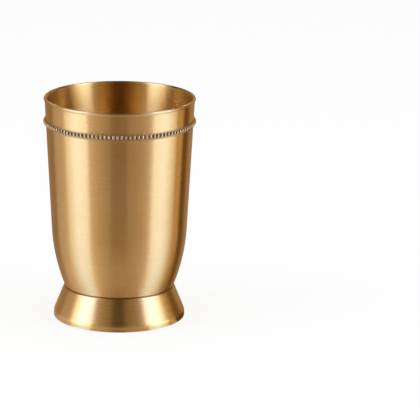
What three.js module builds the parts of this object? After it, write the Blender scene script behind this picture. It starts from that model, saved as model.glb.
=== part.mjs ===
// Spun brass tumbler on a flared foot, with a beaded band below the lip.
// Millimetres, +Z up. The origin is the centre of the ring that the foot stands on.
import * as THREE from "three";

// Cup
const cupHeight = 114; // top of the lip above the table
const mouthRadius = 37.95; // outside of the wall at the top of the lip
const wallTaper = THREE.MathUtils.degToRad(3); // lean of the straight wall
const wallThickness = 1.1;
const lipProud = 0.45; // how far the rounded lip stands out from the wall
const bellyStart = 46; // height where the straight wall turns into the belly
const bellyRadius = 93; // belly arc in profile
const floorDrop = 8; // underside of the cup's floor below the crease at the foot
const floorCorner = 6; // outside round between the belly and the floor

// Foot
const footHeight = 16.4; // height of the crease where the belly sits in the foot
const footSpread = 5.5; // how far the foot flares out from the crease to the table
const footThickness = 1.1;
const footBandHeight = 2.6; // where the flare would meet the upright band with no bend
const footBend = 6.5; // outside bend between the flare and the upright band
const footEdge = 0.45; // round on the outer bottom edge
const hemWidth = 3; // flat ring turned in under the foot

// Beaded band
const bandDrop = 12.3; // middle of the bead row below the top of the lip
const beadCount = 114;
const beadRise = 0.9; // top of a bead above the strip
const beadReach = 1.1; // half the height of a bead along the wall
const railAbove = 0.2; // plain edge of the strip above the beads
const railBelow = 0.8; // plain edge of the strip below the beads
const stripThickness = 0.35;

// Soldered joints
const solderGap = 0.1; // film of solder between two soldered faces
const solderLeg = 2.2; // reach of the solder ring along the belly and along the foot
const solderHollow = 0.5; // dip of the ring's face towards its corner, as a share

// Smoothness
const turnSteps = 60; // facets round the cup and the foot
const stepsPerBead = 4; // facets along one bead
const beadRows = [-1, -0.55, 0, 0.55, 1]; // rings of points across a bead, in half heights

// A point of a profile.
const at = (radius, height) => new THREE.Vector2(radius, height);

// Angle at which a point is seen from a centre.
const angleTo = (centre, point) => Math.atan2(point.y - centre.y, point.x - centre.x);

// Points on an arc about a centre, both ends included, with angles from outward to upward.
function arc(centre, radius, from, to, steps) {
  const points = [];
  for (let i = 0; i <= steps; i++) {
    const angle = from + ((to - from) * i) / steps;
    points.push(at(centre.x + radius * Math.cos(angle), centre.y + radius * Math.sin(angle)));
  }
  return points;
}

// A profile turned about the Z axis. It runs up the outside and down the inside.
function turned(profile, steps = turnSteps) {
  return new THREE.LatheGeometry(profile, steps).rotateX(Math.PI / 2);
}

// Radius of the outside of the straight wall at a height.
const wallRadius = (height) => mouthRadius - (cupHeight - height) * Math.tan(wallTaper);

// Belly arc, tangent to the straight wall at its start.
const bellyCentre = at(
  wallRadius(bellyStart) - bellyRadius * Math.cos(wallTaper),
  bellyStart + bellyRadius * Math.sin(wallTaper),
);

// Floor corner, tangent to the floor and to the belly.
const floorHeight = footHeight - floorDrop;
const cornerHeight = floorHeight + floorCorner;
const cornerCentre = at(
  bellyCentre.x + Math.sqrt((bellyRadius - floorCorner) ** 2 - (cornerHeight - bellyCentre.y) ** 2),
  cornerHeight,
);
const bellyEnd = angleTo(bellyCentre, cornerCentre);

// The cup's skin from the floor's edge up to the straight wall, at an offset from the outside.
function bellyProfile(offset) {
  const corner = arc(cornerCentre, floorCorner + offset, -Math.PI / 2, bellyEnd, 4);
  const belly = arc(bellyCentre, bellyRadius + offset, bellyEnd, -wallTaper, 7);
  return [...corner, ...belly.slice(1)];
}

// One sheet from the middle of the floor, up the outside, over the lip and down the inside.
function cupBody() {
  const lipRound = (wallThickness + lipProud) / 2;
  const lipHeight = cupHeight - lipRound;
  const outerRadius = wallRadius(lipHeight);
  const innerRadius = outerRadius - wallThickness / Math.cos(wallTaper);
  const lipCentre = at(innerRadius + lipRound, lipHeight);
  const lipStart = -Math.acos((outerRadius - lipCentre.x) / lipRound);
  return turned([
    at(0, floorHeight),
    ...bellyProfile(0),
    ...arc(lipCentre, lipRound, lipStart, Math.PI / 2, 4),
    ...arc(lipCentre, lipRound, Math.PI / 2, Math.PI, 3).slice(1),
    ...bellyProfile(-wallThickness).reverse(),
    at(0, floorHeight + wallThickness),
  ]);
}

// Arc that the foot and the solder ring keep to, one film of solder off the belly.
const seatRadius = bellyRadius + solderGap;

// Flare of the foot: its top edge, its lean from upright, and its downward and inward directions.
const footTop = at(
  bellyCentre.x + Math.sqrt(seatRadius ** 2 - (footHeight - bellyCentre.y) ** 2),
  footHeight,
);
const footRadius = footTop.x + footSpread;
const flareLean = Math.atan2(footSpread, footHeight - footBandHeight);
const flareDown = at(Math.sin(flareLean), -Math.cos(flareLean));
const flareIn = at(-Math.cos(flareLean), -Math.sin(flareLean));

// Point where the seat arc meets a line at a depth behind the flare's outside.
function seatMeets(depth) {
  const start = footTop.clone().addScaledVector(flareIn, depth);
  const fromCentre = start.clone().sub(bellyCentre);
  const along = fromCentre.dot(flareDown);
  const beyond = fromCentre.lengthSq() - seatRadius ** 2;
  return start.addScaledVector(flareDown, Math.sqrt(along ** 2 - beyond) - along);
}

// Hollow skirt: hem turned in, upright band, bend, flare, and a top edge bevelled to the belly.
function foot() {
  const roomForBend = (footBandHeight - footThickness) / Math.tan(flareLean / 2);
  const bend = Math.min(footBend, roomForBend);
  const bendCentre = at(footRadius - bend, footBandHeight - bend * Math.tan(flareLean / 2));
  const edgeCentre = at(footRadius - footEdge, footEdge);
  const seatTop = angleTo(bellyCentre, footTop);
  const seatEnd = angleTo(bellyCentre, seatMeets(footThickness));
  return turned([
    at(footRadius - hemWidth, 0),
    ...arc(edgeCentre, footEdge, -Math.PI / 2, 0, 2),
    ...arc(bendCentre, bend, 0, flareLean, 4),
    ...arc(bellyCentre, seatRadius, seatTop, seatEnd, 2),
    ...arc(bendCentre, bend - footThickness, flareLean, 0, 3),
    at(footRadius - footThickness, footThickness),
    at(footRadius - hemWidth, footThickness),
    at(footRadius - hemWidth, 0),
  ]);
}

// Solder ring in the corner under the seat, with a hollow face between its two legs.
function footSolder() {
  const corner = seatMeets(footThickness + solderGap);
  const cornerAngle = angleTo(bellyCentre, corner);
  const bellyLeg = arc(bellyCentre, seatRadius, cornerAngle, cornerAngle - solderLeg / seatRadius, 2);
  const bellyLegEnd = bellyLeg.at(-1);
  const footLegEnd = corner.clone().addScaledVector(flareDown, solderLeg);
  const dip = bellyLegEnd.clone().lerp(footLegEnd, 0.5).lerp(corner, solderHollow);
  const face = new THREE.QuadraticBezierCurve(bellyLegEnd, dip, footLegEnd);
  return turned([...face.getPoints(3), ...bellyLeg]);
}

// Strip round the wall with plain edges, and a row of round beads raised between them.
function beadBand() {
  const bandHeight = cupHeight - bandDrop;
  const middle = at(wallRadius(bandHeight), bandHeight);
  const wallOut = at(Math.cos(wallTaper), -Math.sin(wallTaper));
  const wallUp = at(Math.sin(wallTaper), Math.cos(wallTaper));
  const onBand = (out, up) => middle.clone().addScaledVector(wallOut, out).addScaledVector(wallUp, up);
  const back = solderGap;
  const front = solderGap + stripThickness;
  const top = beadReach + railAbove;
  const bottom = -beadReach - railBelow;
  const underBeads = [onBand(back, top), onBand(back, bottom), onBand(front, bottom)];
  const beads = beadRows.map((row) => onBand(front, row * beadReach));
  const section = [...underBeads, ...beads, onBand(front, top), onBand(back, top)];

  const band = turned(section, beadCount * stepsPerBead);
  const position = band.getAttribute("position");
  const point = new THREE.Vector3();
  for (let i = 0; i < position.count; i++) {
    const row = beadRows[(i % section.length) - underBeads.length];
    if (row === undefined) continue;
    const step = Math.floor(i / section.length) % stepsPerBead;
    const along = (2 * step) / stepsPerBead - 1;
    const rise = beadRise * Math.sqrt(Math.max(0, 1 - row ** 2 - along ** 2));
    point.fromBufferAttribute(position, i);
    const grow = 1 + (rise * wallOut.x) / Math.hypot(point.x, point.y);
    position.setXYZ(i, point.x * grow, point.y * grow, point.z + rise * wallOut.y);
  }
  return band;
}

// Satin metal of one piece.
function satin(color, roughness) {
  return new THREE.MeshStandardMaterial({ color, roughness, metalness: 1 });
}

const pieces = {
  cup_body: [cupBody(), satin(0xc99a5b, 0.32)],
  bead_band: [beadBand(), satin(0xbd9358, 0.28)],
  foot: [foot(), satin(0xc99a5b, 0.3)],
  foot_solder: [footSolder(), satin(0xa9a08c, 0.5)],
};

const tumbler = new THREE.Group();
for (const [name, [geometry, material]] of Object.entries(pieces)) {
  const piece = new THREE.Mesh(geometry, material);
  piece.name = name;
  tumbler.add(piece);
}

export default tumbler;
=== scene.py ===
import math

import bpy
from mathutils import Matrix, Vector


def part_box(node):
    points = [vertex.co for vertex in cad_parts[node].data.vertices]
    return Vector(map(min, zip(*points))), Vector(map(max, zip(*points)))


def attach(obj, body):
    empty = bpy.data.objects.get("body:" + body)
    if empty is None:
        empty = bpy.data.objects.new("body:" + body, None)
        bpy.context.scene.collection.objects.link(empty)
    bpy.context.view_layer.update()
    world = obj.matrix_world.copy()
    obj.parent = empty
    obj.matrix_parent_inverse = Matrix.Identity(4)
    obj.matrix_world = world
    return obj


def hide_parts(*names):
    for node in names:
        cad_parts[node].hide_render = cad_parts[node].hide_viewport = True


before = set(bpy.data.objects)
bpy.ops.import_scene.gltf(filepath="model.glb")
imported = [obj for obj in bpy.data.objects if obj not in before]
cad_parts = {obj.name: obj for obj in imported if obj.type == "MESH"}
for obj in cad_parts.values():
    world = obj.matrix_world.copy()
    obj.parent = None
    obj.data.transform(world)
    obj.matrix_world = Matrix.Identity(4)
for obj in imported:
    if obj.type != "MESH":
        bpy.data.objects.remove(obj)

mm = 0.001
tiny = 0.001 * mm  # points closer than this are one point
scene = bpy.context.scene
scene.view_settings.view_transform = "Standard"
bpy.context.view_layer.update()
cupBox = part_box("cup_body")
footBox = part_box("foot")


# profile helpers: a profile is a list of (radius, height) points, up the outside and down the inside

def arc(centre, radius, start, end, steps):
    angles = [start + (end - start) * i / steps for i in range(steps + 1)]
    return [Vector((centre.x + radius * math.cos(a), centre.y + radius * math.sin(a))) for a in angles]


def line(start, end, steps):
    return [start.lerp(end, i / steps) for i in range(steps + 1)]


def angleTo(centre, point):
    return math.atan2(point.y - centre.y, point.x - centre.x)


def cleaned(points):  # without the points that repeat the one before
    kept = [points[0]]
    for point in points[1:]:
        if (point - kept[-1]).length > tiny:
            kept.append(point)
    return kept


# turns a profile round the Z axis
# the UV map holds the turn, from 0 to 1, and the length along the profile in metres
def turnedMesh(name, profile, stepsRound, closed):
    points = cleaned(profile)
    if closed and (points[0] - points[-1]).length > tiny:
        points.append(points[0].copy())
    lengths = [0.0]
    for a, b in zip(points, points[1:]):
        lengths.append(lengths[-1] + (b - a).length)
    rows, verts = [], []
    for index, point in enumerate(points):
        if closed and index == len(points) - 1:
            rows.append(rows[0])
        elif abs(point.x) < tiny:  # on the axis, one point for the whole row
            rows.append([len(verts)] * stepsRound)
            verts.append((0.0, 0.0, point.y))
        else:
            rows.append(list(range(len(verts), len(verts) + stepsRound)))
            for k in range(stepsRound):
                turn = 2 * math.pi * k / stepsRound
                verts.append((point.x * math.cos(turn), point.x * math.sin(turn), point.y))
    faces, uvs = [], []
    for j in range(len(points) - 1):
        for k in range(stepsRound):
            after = (k + 1) % stepsRound
            corners = [(rows[j][k], k, j), (rows[j][after], k + 1, j),
                       (rows[j + 1][after], k + 1, j + 1), (rows[j + 1][k], k, j + 1)]
            kept = []
            for corner in corners:
                if corner[0] not in [other[0] for other in kept]:
                    kept.append(corner)
            faces.append([corner[0] for corner in kept])
            uvs += [(corner[1] / stepsRound, lengths[corner[2]]) for corner in kept]
    mesh = bpy.data.meshes.new(name)
    mesh.from_pydata(verts, [], faces)
    uvMap = mesh.uv_layers.new(name="turnAndLength")
    for loop, uv in zip(uvMap.data, uvs):
        loop.uv = uv
    mesh.shade_smooth()
    return mesh


def addPiece(name, mesh, material=None):
    piece = bpy.data.objects.new(name, mesh)
    scene.collection.objects.link(piece)
    if material:
        mesh.materials.append(material)
    return piece


# shader helper: a socket that takes part in sums, and makes any other node
class Wire:
    def __init__(self, tree, socket=None):
        self.tree = tree
        self.socket = socket

    def node(self, kind, settings=None, sockets=None, output=0):
        made = self.tree.nodes.new(kind)
        for key, value in (settings or {}).items():
            setattr(made, key, value)
        for key, value in (sockets or {}).items():
            if isinstance(value, Wire):
                self.tree.links.new(value.socket, made.inputs[key])
            else:
                made.inputs[key].default_value = value
        return Wire(self.tree, made.outputs[output] if made.outputs else None)

    def sum(self, operation, *terms):
        return self.node("ShaderNodeMath", {"operation": operation}, dict(enumerate(terms)))

    def __add__(self, other):
        return self.sum("ADD", self, other)

    __radd__ = __add__

    def __sub__(self, other):
        return self.sum("SUBTRACT", self, other)

    def __rsub__(self, other):
        return self.sum("SUBTRACT", other, self)

    def __mul__(self, other):
        return self.sum("MULTIPLY", self, other)

    __rmul__ = __mul__

    def parts(self, vector):  # the three values of a vector
        split = self.node("ShaderNodeSeparateXYZ", sockets={0: vector}).socket.node
        return [Wire(self.tree, output) for output in split.outputs]

    def within(self, low, high):  # 0 at low, 1 at high, smooth between
        return self.node("ShaderNodeMapRange", {"interpolation_type": "SMOOTHSTEP"},
                         {"Value": self, "From Min": low, "From Max": high})

    # colour first where this is 0, second where it is 1; Mix has its colours at these places
    def blend(self, first, second):
        return self.node("ShaderNodeMix", {"data_type": "RGBA"}, {0: self, 6: first, 7: second}, 2)

    def noise(self, vector, scale, detail):
        return self.node("ShaderNodeTexNoise", {}, {"Vector": vector, "Scale": scale, "Detail": detail})

    def objectPlace(self):  # a point of the piece, in metres
        return self.node("ShaderNodeTexCoord", output="Object")


def newMaterial(name):
    material = bpy.data.materials.new(name)
    material.use_nodes = True
    material.node_tree.nodes.clear()
    return material, Wire(material.node_tree)


def colour(r, g, b):
    return (r, g, b, 1.0)


# satin brass, brushed round the axis: fine lines, soft rings from the spinning, a little tarnish
satinBrass = {
    "brass": colour(0.84, 0.585, 0.295),
    "tarnish": colour(0.715, 0.465, 0.20),
    # dark colour of the painted shade in the crease over the foot, and of the old polish and solder there
    "shadeAndPatina": colour(0.13, 0.075, 0.028),
    "worn": colour(0.86, 0.62, 0.34),
    # marks per metre along the profile and around it, and how much each kind counts in the tarnish
    "fine": {"along": 5600.0, "around": 22.0, "detail": 3.0, "weight": 0.5},
    "strokes": {"along": 2600.0, "around": 240.0, "detail": 2.0, "weight": 0.55},
    "rings": {"along": 420.0, "around": 9.0, "detail": 2.0, "weight": 0.12},
    "specks": {"perMetre": 1900.0, "detail": 1.0, "weight": 0.9},
    "clouds": {"perMetre": 38.0, "detail": 3.0, "weight": 0.16},
    "streakRoughness": 0.6,  # of the noise
    "brushTurn": 0.25,  # a quarter turn, so that the brushing runs round the axis
    "cloudEdges": (0.45, 0.8),
    "dullEdges": (0.4, 0.8),
    "tarnishGround": 0.22,
    "tarnishRange": (-0.3, 1.0),
    # what each adds to the roughness of the metal
    "lineRoughness": 0.12,
    "cloudRoughness": 0.02,
    "shadeAndPatinaRoughness": 0.25,
    "wornRoughness": 0.06,
}


def makeSatinBrass(name, finish, shadeAndPatinaMask, wornMask):
    material, root = newMaterial(name)
    place = root.objectPlace()
    x, y, z = root.parts(place)
    length = root.parts(root.node("ShaderNodeUVMap", {"uv_map": "turnAndLength"}))[1]

    def streaks(kind):
        mark = satinBrass[kind]
        vector = root.node("ShaderNodeCombineXYZ", {}, {
            0: x * mark["around"], 1: y * mark["around"], 2: length * mark["along"]})
        return root.node("ShaderNodeTexNoise", {"noise_dimensions": "3D"}, {
            "Vector": vector, "Scale": 1.0, "Detail": mark["detail"],
            "Roughness": satinBrass["streakRoughness"]})

    def spots(kind):
        mark = satinBrass[kind]
        return root.noise(place, mark["perMetre"], mark["detail"])

    def weighted(kind, marks):  # about 0, so that it darkens as much as it brightens
        return (marks - 0.5) * satinBrass[kind]["weight"]

    fine = streaks("fine")
    strokes = streaks("strokes")
    rings = streaks("rings")
    specks = spots("specks")
    clouds = spots("clouds")
    grain = weighted("fine", fine) + weighted("strokes", strokes) + weighted("specks", specks)
    stain = clouds.within(*satinBrass["cloudEdges"]) * satinBrass["clouds"]["weight"]
    stain = stain + grain + weighted("rings", rings) + satinBrass["tarnishGround"]
    shade = stain.within(*satinBrass["tarnishRange"]).blend(satinBrass["brass"], satinBrass["tarnish"])
    roughness = (finish["roughness"] + (fine - 0.5) * satinBrass["lineRoughness"]
                 + clouds.within(*satinBrass["dullEdges"]) * satinBrass["cloudRoughness"])
    # painted shade: the crease over the foot is darkened in the colour
    shadeAndPatina = shadeAndPatinaMask(root, z)
    worn = wornMask(root, z)
    shade = worn.blend(shade, satinBrass["worn"])
    shade = shadeAndPatina.blend(shade, satinBrass["shadeAndPatina"])
    roughness = roughness + shadeAndPatina * satinBrass["shadeAndPatinaRoughness"] + worn * satinBrass["wornRoughness"]
    bump = root.node("ShaderNodeBump", {}, {
        "Strength": 1.0, "Distance": finish["lineDepth"], "Height": fine})
    surface = root.node("ShaderNodeBsdfPrincipled", {}, {
        "Base Color": shade, "Metallic": 1.0, "Roughness": roughness, "Normal": bump,
        "Anisotropic": finish["anisotropy"], "Anisotropic Rotation": satinBrass["brushTurn"]})
    root.node("ShaderNodeOutputMaterial", {}, {"Surface": surface})
    return material


# cup: one spun sheet with a rounded lip, a straight tapered wall, a belly and a flat floor
cup = {
    "wallTaper": math.radians(3),
    "wallThickness": 1.1 * mm,
    "lipProud": 0.45 * mm,
    "lipCove": 1.2 * mm,
    "bellyStart": 46 * mm,
    "bellyRadius": 93 * mm,
    "floorCorner": 6 * mm,
    "stepsRound": 256,
    "steps": {"floor": 12, "corner": 10, "belly": 30, "wall": 40, "cove": 6, "lip": 22},
    "roughness": 0.29,
    "anisotropy": 1.0,
    "lineDepth": 0.0028 * mm,
}
taper = cup["wallTaper"]
lipRound = (cup["wallThickness"] + cup["lipProud"]) / 2
lipHeight = cupBox[1].z - lipRound
wallAtLip = cupBox[1].x - cup["lipProud"]


def wallRadius(height):
    return wallAtLip - (lipHeight - height) * math.tan(taper)


bellyCentre = Vector((wallRadius(cup["bellyStart"]) - cup["bellyRadius"] * math.cos(taper),
                      cup["bellyStart"] + cup["bellyRadius"] * math.sin(taper)))
cornerHeight = cupBox[0].z + cup["floorCorner"]
cornerCentre = Vector((bellyCentre.x + math.sqrt((cup["bellyRadius"] - cup["floorCorner"]) ** 2
                                                 - (cornerHeight - bellyCentre.y) ** 2), cornerHeight))
bellyEnd = angleTo(bellyCentre, cornerCentre)


def bellyProfile(offset):
    steps = cup["steps"]
    floorEdge = Vector((cornerCentre.x, cupBox[0].z - offset))
    floor = line(Vector((0, floorEdge.y)), floorEdge, steps["floor"])
    corner = arc(cornerCentre, cup["floorCorner"] + offset, -math.pi / 2, bellyEnd, steps["corner"])
    belly = arc(bellyCentre, cup["bellyRadius"] + offset, bellyEnd, -taper, steps["belly"])
    return floor + corner + belly


def cupProfile():
    steps = cup["steps"]
    inner = wallAtLip - cup["wallThickness"] / math.cos(taper)
    lipCentre = Vector((inner + lipRound, lipHeight))
    cove = cup["lipCove"]
    # the cove touches the wall on one side and the lip on the other
    coveX = wallAtLip + cove
    coveDrop = math.sqrt((cove + lipRound) ** 2 - (coveX - lipCentre.x) ** 2)
    coveCentre = Vector((coveX - coveDrop * math.tan(taper), lipHeight - coveDrop))
    coveMeets = angleTo(lipCentre, coveCentre)
    outside = bellyProfile(0)
    coveArc = arc(coveCentre, cove, math.pi - taper, coveMeets + math.pi, steps["cove"])
    wall = line(outside[-1], coveArc[0], steps["wall"])
    lip = arc(lipCentre, lipRound, coveMeets, math.pi, steps["lip"])
    inside = bellyProfile(-cup["wallThickness"])
    inside.reverse()
    innerWall = line(lip[-1], inside[0], steps["wall"])
    return outside + wall + coveArc + lip + innerWall + inside


# foot: hollow flared skirt with an upright band, a hem turned in below
# and a top edge that follows the belly
foot = {
    "thickness": 1.1 * mm,
    "bandHeight": 2.6 * mm,
    "bend": 6.5 * mm,
    "edge": 0.45 * mm,
    "hemWidth": 3 * mm,
    "hemRound": 0.2 * mm,
    "seatGap": 0.05 * mm,
    "topRound": 0.3 * mm,
    # the dark line over the foot is painted shade in the crease
    "creaseDark": 0.05 * mm,  # half the width of the dark line over the foot, and where it has faded
    "creaseFaded": 0.4 * mm,
    "rubbed": 0.1 * mm,  # height of the rubbed edge, and how far over the edge it fades
    "rubbedFades": 0.4 * mm,
    "stepsRound": 256,
    "steps": {"bottom": 6, "edge": 8, "bend": 14, "flare": 20, "top": 10, "seat": 4,
              "innerFlare": 16, "innerBend": 12, "hem": 4},
    "roughness": 0.28,
    "anisotropy": 0.7,
    "lineDepth": 0.0015 * mm,
}
seatRadius = cup["bellyRadius"] + foot["seatGap"]
footHeight = footBox[1].z
footRadius = footBox[1].x
footTop = Vector((bellyCentre.x + math.sqrt(seatRadius ** 2 - (footHeight - bellyCentre.y) ** 2),
                  footHeight))
flareLean = math.atan2(footRadius - footTop.x, footHeight - foot["bandHeight"])
flareDown = Vector((math.sin(flareLean), -math.cos(flareLean)))
flareIn = Vector((-math.cos(flareLean), -math.sin(flareLean)))


def seatMeets(depth, radius=seatRadius):  # where the seat arc meets a line behind the flare's outside
    start = footTop + flareIn * depth
    away = start - bellyCentre
    along = away.dot(flareDown)
    return start + flareDown * (math.sqrt(along ** 2 - away.length_squared + radius ** 2) - along)


def footProfile():
    steps = foot["steps"]
    bend = foot["bend"]
    bendCentre = Vector((footRadius - bend, foot["bandHeight"] - bend * math.tan(flareLean / 2)))
    edgeCentre = Vector((footRadius - foot["edge"], foot["edge"]))
    thick = foot["thickness"]
    hemRound = foot["hemRound"]
    hemStart = footRadius - foot["hemWidth"] + hemRound  # where the round on its inner edge begins
    bottom = line(Vector((hemStart, 0)), Vector((edgeCentre.x, 0)), steps["bottom"])
    edge = arc(edgeCentre, foot["edge"], -math.pi / 2, 0, steps["edge"])
    outerBend = arc(bendCentre, bend, 0, flareLean, steps["bend"])
    # round on the top edge, tangent to the flare and to the seat arc
    top = foot["topRound"]
    topCentre = seatMeets(top, seatRadius + top)
    seatStart = angleTo(bellyCentre, topCentre)
    topArc = arc(topCentre, top, flareLean, seatStart + math.pi, steps["top"])
    seatEnd = seatMeets(thick)
    seat = arc(bellyCentre, seatRadius, seatStart, angleTo(bellyCentre, seatEnd), steps["seat"])
    innerBend = arc(bendCentre, bend - thick, flareLean, 0, steps["innerBend"])
    hemTop = line(Vector((footRadius - thick, thick)), Vector((hemStart, thick)), steps["hem"])
    hemEdge = arc(Vector((hemStart, thick - hemRound)), hemRound, math.pi / 2, math.pi, steps["hem"])
    hemLow = arc(Vector((hemStart, hemRound)), hemRound, math.pi, 1.5 * math.pi, steps["hem"])
    flare = line(outerBend[-1], topArc[0], steps["flare"])
    innerFlare = line(seat[-1], innerBend[0], steps["innerFlare"])
    outside = bottom + edge + outerBend + flare + topArc
    return outside + seat + innerFlare + innerBend + hemTop + hemEdge + hemLow


def creaseShade(root, z):  # painted shade in the crease where the belly meets the foot, with a little dark solder and old polish at the joint
    near = root.sum("ABSOLUTE", z - footHeight)
    return 1.0 - near.within(foot["creaseDark"], foot["creaseFaded"])


def lipMask(root, z):  # lip polished by use
    return z.within(lipHeight - lipRound, lipHeight)


def baseMask(root, z):  # edge of the foot rubbed on tables
    return 1.0 - z.within(foot["rubbed"], foot["edge"] + foot["rubbedFades"])


cupMaterial = makeSatinBrass("satinBrassCup", cup, creaseShade, lipMask)
footMaterial = makeSatinBrass("satinBrassFoot", foot, creaseShade, baseMask)
cupMesh = turnedMesh("cupShell", cupProfile(), cup["stepsRound"], False)
cupShell = addPiece("cupShell", cupMesh, cupMaterial)
footMesh = turnedMesh("flaredFoot", footProfile(), foot["stepsRound"], True)
flaredFoot = addPiece("flaredFoot", footMesh, footMaterial)
print("cup and foot turned", len(cupMesh.polygons), len(footMesh.polygons))


# solder ring in the corner under the seat, with a hollow face
solder = {
    "leg": 2.2 * mm,
    "gap": 0.05 * mm,
    "hollow": 0.5,
    "stepsRound": 192,
    "steps": {"belly": 4, "face": 10, "foot": 4},
    "bright": colour(0.55, 0.49, 0.36),
    "dull": colour(0.32, 0.26, 0.17),
    "lumpsPerMetre": 420.0,
    "lumpDetail": 3.0,
    "lumpEdges": (0.35, 0.7),
    "lumpDepth": 0.08 * mm,
    "lumpBump": 0.6,
    "roughness": 0.45,
    "lumpRoughness": 0.2,
}


def solderProfile():
    steps = solder["steps"]
    corner = seatMeets(foot["thickness"] + solder["gap"])
    start = angleTo(bellyCentre, corner)
    end = start - solder["leg"] / seatRadius
    bellyLeg = arc(bellyCentre, seatRadius, start, end, steps["belly"])
    bellyLegEnd = bellyLeg[-1]
    footLegEnd = corner + flareDown * solder["leg"]
    dip = bellyLegEnd.lerp(footLegEnd, 0.5).lerp(corner, solder["hollow"])
    face = []
    for i in range(steps["face"] + 1):
        t = i / steps["face"]
        face.append(bellyLegEnd * (1 - t) ** 2 + dip * (2 * t * (1 - t)) + footLegEnd * t ** 2)
    return face + line(footLegEnd, corner, steps["foot"]) + bellyLeg


def makeSolder():
    material, root = newMaterial("dullSolder")
    lumps = root.noise(root.objectPlace(), solder["lumpsPerMetre"], solder["lumpDetail"])
    shade = lumps.within(*solder["lumpEdges"]).blend(solder["bright"], solder["dull"])
    roughness = solder["roughness"] + lumps * solder["lumpRoughness"]
    bump = root.node("ShaderNodeBump", {}, {
        "Strength": solder["lumpBump"], "Distance": solder["lumpDepth"], "Height": lumps})
    surface = root.node("ShaderNodeBsdfPrincipled", {}, {
        "Base Color": shade, "Metallic": 1.0, "Roughness": roughness, "Normal": bump})
    root.node("ShaderNodeOutputMaterial", {}, {"Surface": surface})
    return material


solderMesh = turnedMesh("footSolder", solderProfile(), solder["stepsRound"], True)
footSolder = addPiece("footSolder", solderMesh, makeSolder())
print("solder ring made", len(solderMesh.polygons))


# beaded band: a strip with plain edges, and a row of round beads set on it by geometry nodes
band = {
    "beadCount": 114,
    "beadRise": 0.9 * mm,
    "beadReach": 1.1 * mm,
    "beadFill": 0.86,
    "beadSegments": 12,
    "beadRings": 6,
    "leastSize": 0.92,
    "seed": 4,
    "rowDrop": 12.3 * mm,
    "railAbove": 0.2 * mm,
    "railBelow": 0.8 * mm,
    "stripThickness": 0.35 * mm,
    "stripBack": 0.02 * mm,
    "seatGap": 0.1 * mm,
    "stepsRound": 456,
    "steps": {"rail": 5, "edge": 2, "middle": 4, "back": 4},
    # the dark colour around and between the beads is painted shade together with patina in the hollows
    "polished": colour(0.86, 0.70, 0.49),
    "shadeAndPatina": colour(0.33, 0.20, 0.08),
    "crown": (0.55 * mm, 0.9 * mm),  # heights over the strip where the polish starts and is full
    "crownTall": 0.6 * mm,  # carries the bright crown up and down the bead
    "railEdges": (-0.1 * mm, 0.2 * mm),  # round the lower end of the beads
    "railShine": 0.35,
    "ridgeEdges": (0.45, 0.9),  # shares of the bead's reach
    "ridgeShine": 0.4,
    "grimePerMetre": 900.0,
    "grimeDetail": 2.0,
    "grimeDepth": 0.3 * mm,
    "roughness": 0.26,
    "shadeAndPatinaRoughness": 0.14,
    "grimeRoughness": 0.08,
}
bandHeight = cupBox[1].z - band["rowDrop"]
wallOut = Vector((math.cos(taper), -math.sin(taper)))
wallUp = Vector((math.sin(taper), math.cos(taper)))
bandMiddle = Vector((wallRadius(bandHeight), bandHeight))
stripFront = band["seatGap"] + band["stripThickness"]


def onBand(out, up):
    return bandMiddle + wallOut * out + wallUp * up


def stripProfile():
    steps = band["steps"]
    reach = band["beadReach"]
    top = reach + band["railAbove"]
    bottom = -reach - band["railBelow"]
    half = band["stripThickness"] / 2
    lowCentre = onBand(stripFront - half, bottom + half)
    highCentre = onBand(stripFront - half, top - half)
    lowRail = arc(lowCentre, half, -math.pi / 2 - taper, -taper, steps["rail"])
    highRail = arc(highCentre, half, -taper, math.pi / 2 - taper, steps["rail"])
    lowFace = line(lowRail[-1], onBand(stripFront, -reach), steps["edge"])
    middle = line(lowFace[-1], onBand(stripFront, reach), steps["middle"])
    highFace = line(middle[-1], highRail[0], steps["edge"])
    backFace = line(onBand(band["stripBack"], top), onBand(band["stripBack"], bottom), steps["back"])
    return lowRail + lowFace + middle + highFace + highRail + backFace


def makeBeadBrass():
    material, root = newMaterial("beadBrass")
    place = root.objectPlace()
    x, y, z = root.parts(place)
    fromAxis = root.sum("SQRT", x * x + y * y)
    up = z - bandHeight
    depth = fromAxis - (bandMiddle.x + up * math.tan(taper)) - stripFront
    grime = root.noise(place, band["grimePerMetre"], band["grimeDetail"])
    reach = band["beadReach"]
    onBead = root.sum("MINIMUM", up * up, reach ** 2)
    tall = onBead * (band["crownTall"] / reach ** 2)
    # painted shade with patina: dark between and around the beads, lifted on the crowns, the lower rail
    # and the upper ridge
    crown = (depth + tall + (grime - 0.5) * band["grimeDepth"]).within(*band["crown"])
    railStart, railFull = band["railEdges"]
    rail = (0.0 - up).within(reach + railStart, reach + railFull)
    ridgeStart, ridgeFull = band["ridgeEdges"]
    ridge = up.within(reach * ridgeStart, reach * ridgeFull)
    edges = root.sum("MAXIMUM", rail * band["railShine"], ridge * band["ridgeShine"])
    polished = root.sum("MAXIMUM", crown, edges)
    shade = polished.blend(band["shadeAndPatina"], band["polished"])
    roughness = (band["roughness"] + (1.0 - polished) * band["shadeAndPatinaRoughness"]
                 + grime * band["grimeRoughness"])
    surface = root.node("ShaderNodeBsdfPrincipled", {}, {
        "Base Color": shade, "Metallic": 1.0, "Roughness": roughness})
    root.node("ShaderNodeOutputMaterial", {}, {"Surface": surface})
    return material


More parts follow.
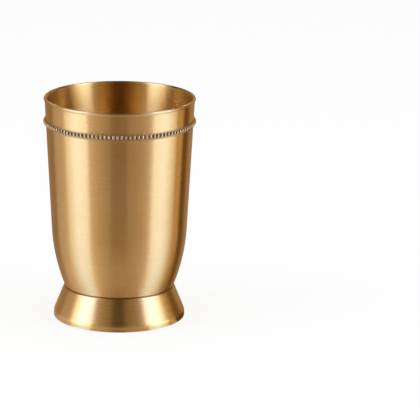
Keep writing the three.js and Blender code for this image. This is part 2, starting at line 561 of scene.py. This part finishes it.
def beadTree():
    tree = bpy.data.node_groups.new("beadRow", "GeometryNodeTree")
    tree.interface.new_socket(name="Geometry", in_out="INPUT", socket_type="NodeSocketGeometry")
    names = {"Bead Count": "NodeSocketInt", "Row Radius": "NodeSocketFloat",
             "Row Height": "NodeSocketFloat", "Bead Size": "NodeSocketVector",
             "Bead Segments": "NodeSocketInt", "Bead Rings": "NodeSocketInt",
             "Least Size": "NodeSocketFloat", "Seed": "NodeSocketInt", "Finish": "NodeSocketMaterial"}
    for name, kind in names.items():
        tree.interface.new_socket(name=name, in_out="INPUT", socket_type=kind)
    tree.interface.new_socket(name="Geometry", in_out="OUTPUT", socket_type="NodeSocketGeometry")

    def add(kind, **inputs):
        made = tree.nodes.new(kind)
        for key, value in inputs.items():
            if isinstance(value, bpy.types.NodeSocket):
                tree.links.new(value, made.inputs[key])
            else:
                made.inputs[key].default_value = value
        return made

    given = tree.nodes.new("NodeGroupInput").outputs
    circle = add("GeometryNodeMeshCircle", Vertices=given["Bead Count"], Radius=given["Row Radius"])
    lift = add("ShaderNodeCombineXYZ", Z=given["Row Height"])
    row = add("GeometryNodeTransform", Geometry=circle.outputs[0], Translation=lift.outputs[0])
    spot = add("GeometryNodeInputPosition")
    level = add("ShaderNodeVectorMath", Vector=spot.outputs[0])
    level.operation = "MULTIPLY"
    level.inputs[1].default_value = (1, 1, 0)  # drops the height
    turn = add("FunctionNodeAlignRotationToVector", Vector=level.outputs[0])
    turn.axis = "X"
    turn.pivot_axis = "Z"
    bead = add("GeometryNodeMeshUVSphere", Segments=given["Bead Segments"], Rings=given["Bead Rings"],
               Radius=1.0)
    smooth = add("GeometryNodeSetShadeSmooth", Geometry=bead.outputs[0])
    uneven = add("FunctionNodeRandomValue", Seed=given["Seed"])
    uneven.data_type = "FLOAT"
    tree.links.new(given["Least Size"], uneven.inputs[2])  # the largest stays 1
    size = add("ShaderNodeVectorMath", Vector=given["Bead Size"])
    size.operation = "SCALE"
    tree.links.new(uneven.outputs[1], size.inputs["Scale"])
    beads = add("GeometryNodeInstanceOnPoints", Points=row.outputs[0], Instance=smooth.outputs[0],
                Rotation=turn.outputs[0], Scale=size.outputs[0])
    joined = tree.nodes.new("GeometryNodeJoinGeometry")
    tree.links.new(given["Geometry"], joined.inputs[0])
    tree.links.new(beads.outputs[0], joined.inputs[0])
    real = add("GeometryNodeRealizeInstances", Geometry=joined.outputs[0])
    finish = add("GeometryNodeSetMaterial", Geometry=real.outputs[0], Material=given["Finish"])
    out = tree.nodes.new("NodeGroupOutput")
    tree.links.new(finish.outputs[0], out.inputs[0])
    return tree


def makeBand():
    piece = addPiece("beadBand", turnedMesh("beadStrip", stripProfile(), band["stepsRound"], True))
    row = onBand(stripFront, 0)
    pitch = 2 * math.pi * row.x / band["beadCount"]
    values = {
        "Bead Count": band["beadCount"],
        "Row Radius": row.x,
        "Row Height": row.y,
        "Bead Size": (band["beadRise"], pitch / 2 * band["beadFill"], band["beadReach"]),
        "Bead Segments": band["beadSegments"],
        "Bead Rings": band["beadRings"],
        "Least Size": band["leastSize"],
        "Seed": band["seed"],
        "Finish": makeBeadBrass(),
    }
    modifier = piece.modifiers.new("beadRow", "NODES")
    modifier.node_group = beadTree()
    for item in modifier.node_group.interface.items_tree:
        if item.in_out == "INPUT" and item.name in values:
            modifier[item.identifier] = values[item.name]
    graph = bpy.context.evaluated_depsgraph_get()
    graph.update()
    made = bpy.data.meshes.new_from_object(piece.evaluated_get(graph), depsgraph=graph)
    piece.modifiers.remove(modifier)
    piece.data = made
    made.name = "beadBand"
    return piece


beadBand = makeBand()
print("beads set", len(beadBand.data.polygons))

for piece, node, slot in ((cupShell, "cup_body", "satin_brass"), (beadBand, "bead_band", "bead_brass"),
                          (flaredFoot, "foot", "foot_brass"), (footSolder, "foot_solder", "solder")):
    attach(piece, "root")
    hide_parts(node)


# studio: a pale floor and a white surround, with two lamps for the floor's soft shadow
studio = {
    "floorSize": 12.0,
    "floorShade": colour(0.92, 0.92, 0.92),
    "floorGlow": 0.8,  # share of plain white in the floor that is seen or mirrored
    "ambient": 0.85,
    "lampDistance": 1.15,
    "lampAzimuth": 71.0,
    "lampElevation": 38.0,
    "lampWidth": 0.75,
    "lampPower": 3.0,
}
white = colour(1, 1, 1)


def seenDirectly(root):  # 1 for rays from the camera, off metal and through glass
    path = root.node("ShaderNodeLightPath").socket.node.outputs
    camera, glossy, through = (Wire(root.tree, path[name])
                               for name in ("Is Camera Ray", "Is Glossy Ray", "Is Transmission Ray"))
    return root.sum("MAXIMUM", root.sum("MAXIMUM", camera, glossy), through)


def makeWorld():
    world = bpy.data.worlds.new("whiteSurround")
    scene.world = world
    world.use_nodes = True
    world.node_tree.nodes.clear()
    root = Wire(world.node_tree)
    direct = seenDirectly(root)
    strength = direct * (1.0 - studio["ambient"]) + studio["ambient"]
    back = root.node("ShaderNodeBackground", {}, {"Color": white, "Strength": strength})
    root.node("ShaderNodeOutputWorld", {}, {"Surface": back})


def makeFloor():
    half = studio["floorSize"] / 2
    corners = [(-half, -half, 0), (half, -half, 0), (half, half, 0), (-half, half, 0)]
    mesh = bpy.data.meshes.new("floor")
    mesh.from_pydata(corners, [], [(0, 1, 2, 3)])
    material, root = newMaterial("paleFloor")
    direct = seenDirectly(root)
    matt = root.node("ShaderNodeBsdfDiffuse", {}, {"Color": studio["floorShade"]})
    glow = root.node("ShaderNodeEmission", {}, {"Color": white, "Strength": 1.0})
    lit = root.node("ShaderNodeMixShader", {}, {0: direct * studio["floorGlow"], 1: matt, 2: glow})
    clear = root.node("ShaderNodeBsdfTransparent")
    under = root.node("ShaderNodeNewGeometry", output="Backfacing")  # from below, the floor is clear
    shown = root.node("ShaderNodeMixShader", {}, {0: under, 1: lit, 2: clear})
    root.node("ShaderNodeOutputMaterial", {}, {"Surface": shown})
    floor = addPiece("floor", mesh, material)


def onRing(azimuth, radius, height):  # azimuth 0 is towards the camera, positive to its right
    a = math.radians(azimuth)
    return Vector((radius * math.sin(a), -radius * math.cos(a), height))


def makeLamp(name, azimuth):
    light = bpy.data.lights.new(name, "AREA")
    light.size = studio["lampWidth"]
    light.energy = studio["lampPower"]
    lamp = bpy.data.objects.new(name, light)
    scene.collection.objects.link(lamp)
    up = math.radians(studio["lampElevation"])
    away = studio["lampDistance"]
    lamp.location = onRing(azimuth, away * math.cos(up), away * math.sin(up))
    lamp.rotation_euler = (-lamp.location).to_track_quat("-Z", "Y").to_euler()
    lamp.visible_glossy = False


def grey(level):
    return (level, level, level)


# what the metal mirrors: soft boxes and cards that stand round it, each from one azimuth to another
# a card has a run of tints over its span, its colours on the floor, far off, upright, high and overhead,
# and shares of the floor's colour at the foot's edge, beside the foot and near it
even = (grey(1), grey(1))
boxCool = (1.95, 2.22, 2.75)  # middle of a soft box, a little cooler than its edges
boxInner = (1.75, 1.68, 1.5)
boxOuter = (1.5, 1.4, 1.08)
boxColours = {"shares": (1.05, 0.95, 1.2), "floor": (0.52, 0.56, 0.635), "far": (1.6, 1.55, 1.15),
              "upright": grey(0.9), "high": (1.03, 1.22, 2.0), "overhead": (1.2, 1.05, 0.8)}
frontColours = {"shares": (0.85, 0.95, 1.22), "floor": (0.58, 0.465, 0.345),
                "upright": (0.32, 0.225, 0.09), "high": (0.32, 0.225, 0.1), "overhead": (0.2, 0.13, 0.045)}
cards = [
    {"name": "farLeft", "span": (-180, -125.5), "run": (grey(1.1), grey(0.9)),
     "shares": (1.6, 1.4, 1.2), "floor": (0.36, 0.25, 0.145), "upright": (0.38, 0.26, 0.13),
     "high": (0.46, 0.32, 0.17), "overhead": (0.16, 0.11, 0.06)},
    {"name": "sideLeft", "span": (-125.5, -95.5), "run": (grey(0.88), (1.1, 1.1, 1.15)),
     "shares": (0.9, 1.1, 1.1), "floor": (0.68, 0.57, 0.46), "upright": (0.4, 0.28, 0.14),
     "high": (0.52, 0.4, 0.26), "overhead": (0.28, 0.2, 0.11)},
    {"name": "boxLeft", "span": (-95.5, -51), "run": (boxOuter, boxCool, boxInner), **boxColours},
    {"name": "frontLeft", "span": (-51, -14), "run": (grey(1.25), grey(0.78)), **frontColours},
    {"name": "front", "span": (-14, 12), "run": even,
     "shares": (0.75, 1.5, 1.85), "floor": (0.35, 0.255, 0.175), "upright": (0.035, 0.02, 0.004),
     "high": (0.07, 0.045, 0.02), "overhead": (0.09, 0.055, 0.016)},
    {"name": "frontRight", "span": (12, 54), "run": (grey(0.76), grey(1.06)), **frontColours},
    {"name": "boxRight", "span": (54, 99.5), "run": (boxInner, boxCool, boxOuter), **boxColours},
    {"name": "sideRight", "span": (99.5, 115.5), "run": (grey(0.72), (1.4, 1.4, 1.45)),
     "shares": (0.8, 0.8, 0.85), "floor": (0.68, 0.47, 0.22), "upright": (0.42, 0.26, 0.1),
     "high": (0.48, 0.3, 0.12), "overhead": (0.26, 0.16, 0.06)},
    {"name": "deepRight", "span": (115.5, 135), "run": even,
     "shares": (0.8, 0.8, 1), "floor": (0.155, 0.072, 0.012), "upright": (0.17, 0.08, 0.016),
     "high": (0.17, 0.08, 0.016), "overhead": (0.1, 0.05, 0.01)},
    {"name": "farRight", "span": (135, 180), "run": (grey(1), grey(1.2)),
     "shares": (0.8, 0.8, 1), "floor": (0.37, 0.26, 0.15), "upright": (0.38, 0.26, 0.13),
     "high": (0.46, 0.32, 0.17), "overhead": (0.16, 0.11, 0.06)},
]
zenithColour = (0.03, 0.018, 0.006)
cardStep = 3  # degrees
closeFrom = 110  # degrees; from here on the cards close up behind the object
rightShares = {"upright": 0.915, "high": 0.93}  # share of its azimuth that such a part has on the right
floorCard = 0.1 * mm  # cards on the floor lie this far above it
cardRing = 1.25  # upright cards stand this far from the axis
cardProfile = [  # radius, height, which colour counts there, and how much of its azimuth a card has there
    (0.0325, floorCard, "edge", 0.5), (0.038, floorCard, "edge", 0.55), (0.046, floorCard, "beside", 0.64),
    (0.058, floorCard, "near", 0.745), (0.075, floorCard, "near", 0.79),
    (0.13, floorCard, "floor", 0.885), (0.2, floorCard, "floor", 0.94), (0.6, floorCard, "floor", 0.995),
    (cardRing, floorCard, "far", 0.97), (cardRing, 0.14, "far", 0.96),
    (cardRing, 0.22, "upright", 0.98), (cardRing, 0.4, "upright", 0.98),
    (cardRing, 0.52, "high", 1.0), (cardRing, 0.95, "high", 0.96),
    (1.05, 1.25, "overhead", 0.9), (0.02, 1.35, "zenith", 0.9),
]

# smaller cards hang over the mouth and behind it, for the inside to mirror
boxFade = (0.3, 0.26, 0.16)  # soft outer end of a box over the mouth
overBox = {"low": (1.0, 0.95, 0.75), "middle": (4.0, 4.0, 3.4), "top": (0.6, 0.6, 0.52)}
overBack = {"low": (0.12, 0.075, 0.03), "middle": (0.05, 0.03, 0.012), "top": (0.03, 0.018, 0.006)}
mouthCards = [
    {"name": "mouthLeft", "span": (-127, -66), "run": (boxFade, boxOuter, boxCool, boxInner), **overBox},
    {"name": "mouthFront", "span": (-66, 66.5), "run": (grey(1), grey(0.4), grey(1)),
     "low": (0.36, 0.24, 0.09), "middle": (0.08, 0.05, 0.015), "top": (0.04, 0.025, 0.008)},
    {"name": "mouthRight", "span": (66.5, 125), "run": (boxInner, boxCool, boxOuter, boxFade), **overBox},
]
backCards = [
    {"name": "mouthBackLeft", "span": (-180, -114), "run": even, **overBack},
    {"name": "mouthBackRight", "span": (112, 180), "run": even, **overBack},
]
brim = cupBox[1].z
mouthRing = wallAtLip - cup["wallThickness"] - 2 * mm  # inside the wall
backRing = cupBox[1].x + 8 * mm  # outside the lip
# the same columns as in cardProfile
mouthProfile = [(mouthRing, brim + 0.2 * mm, "low", 1.0), (mouthRing, brim + 10 * mm, "middle", 1.05),
                (mouthRing, brim + 24 * mm, "top", 1.13)]
backProfile = [(backRing, brim + 8.5 * mm, "low", 1.0), (backRing, brim + 21 * mm, "middle", 1.04),
               (backRing, brim + 46 * mm, "top", 1.1)]


def runAt(run, t):
    place = t * (len(run) - 1)
    low = min(int(place), len(run) - 2)
    return Vector(run[low]).lerp(Vector(run[low + 1]), place - low)


def makeCardPaint():
    material, root = newMaterial("studioCard")
    light = root.node("ShaderNodeAttribute", {"attribute_name": "light"})
    glow = root.node("ShaderNodeEmission", {}, {"Color": light, "Strength": 1.0})
    root.node("ShaderNodeOutputMaterial", {}, {"Surface": glow})
    material.cycles.emission_sampling = "NONE"
    return material


def cardColours(card):
    colours = {part: Vector(card[part]) for part in ("floor", "upright", "high", "overhead")}
    colours["far"] = Vector(card.get("far", card["floor"]))
    colours["zenith"] = Vector(zenithColour)
    for part, share in zip(("edge", "beside", "near"), card["shares"]):
        colours[part] = colours["floor"] * share
    return colours


def mouthColours(card):
    return {part: Vector(card[part]) for part in ("low", "middle", "top")}


def makeCard(card, colours, profile, paint):
    start, end = card["span"]
    steps = max(1, round((end - start) / cardStep))
    across = len(profile)
    verts, lights, faces = [], [], []
    for i in range(steps + 1):
        tint = runAt(card["run"], i / steps)
        azimuth = start + (end - start) * i / steps
        behind = max(0, (abs(azimuth) - closeFrom) / (180 - closeFrom))
        for radius, height, part, turn in profile:
            if azimuth > 0:
                turn *= rightShares.get(part, 1)
            verts.append(onRing(azimuth * (turn + (1 - turn) * behind), radius, height))
            lights.append((*(colours[part] * tint), 1.0))
    for i in range(steps):
        for j in range(across - 1):
            a = i * across + j
            faces.append((a, a + across, a + across + 1, a + 1))
    mesh = bpy.data.meshes.new(card["name"])
    mesh.from_pydata(verts, [], faces)
    attribute = mesh.color_attributes.new("light", "FLOAT_COLOR", "POINT")
    for item, light in zip(attribute.data, lights):
        item.color = light
    made = addPiece(card["name"], mesh, paint)
    made.visible_camera = False
    made.visible_diffuse = False
    made.visible_shadow = False
    made.visible_transmission = False


makeWorld()
makeFloor()
makeLamp("lampLeft", -studio["lampAzimuth"])
makeLamp("lampRight", studio["lampAzimuth"])
cardPaint = makeCardPaint()
for card in cards:
    makeCard(card, cardColours(card), cardProfile, cardPaint)
for card in mouthCards:
    makeCard(card, mouthColours(card), mouthProfile, cardPaint)
for card in backCards:
    makeCard(card, mouthColours(card), backProfile, cardPaint)
print("studio set", len(cards) + len(mouthCards) + len(backCards), "cards")


# camera: the photograph's viewing angle, long lens
view = {
    "distance": 1.3376,
    "height": 0.4107,
    "lens": 232.9,
    "sensor": 36.0,
    "farthest": 50.0,
    "yaw": math.radians(1.975),
    "pitch": math.radians(14.878),
    "roll": math.radians(0.706),
}
cameraData = bpy.data.cameras.new("camera")
cameraData.lens = view["lens"]
cameraData.sensor_width = view["sensor"]
cameraData.clip_end = view["farthest"]
camera = bpy.data.objects.new("camera", cameraData)
scene.collection.objects.link(camera)
camera.matrix_world = (Matrix.Translation((0, -view["distance"], view["height"]))
                       @ Matrix.Rotation(-view["yaw"], 4, "Z")
                       @ Matrix.Rotation(math.pi / 2 - view["pitch"], 4, "X")
                       @ Matrix.Rotation(view["roll"], 4, "Z"))
scene.camera = camera
print("camera set")
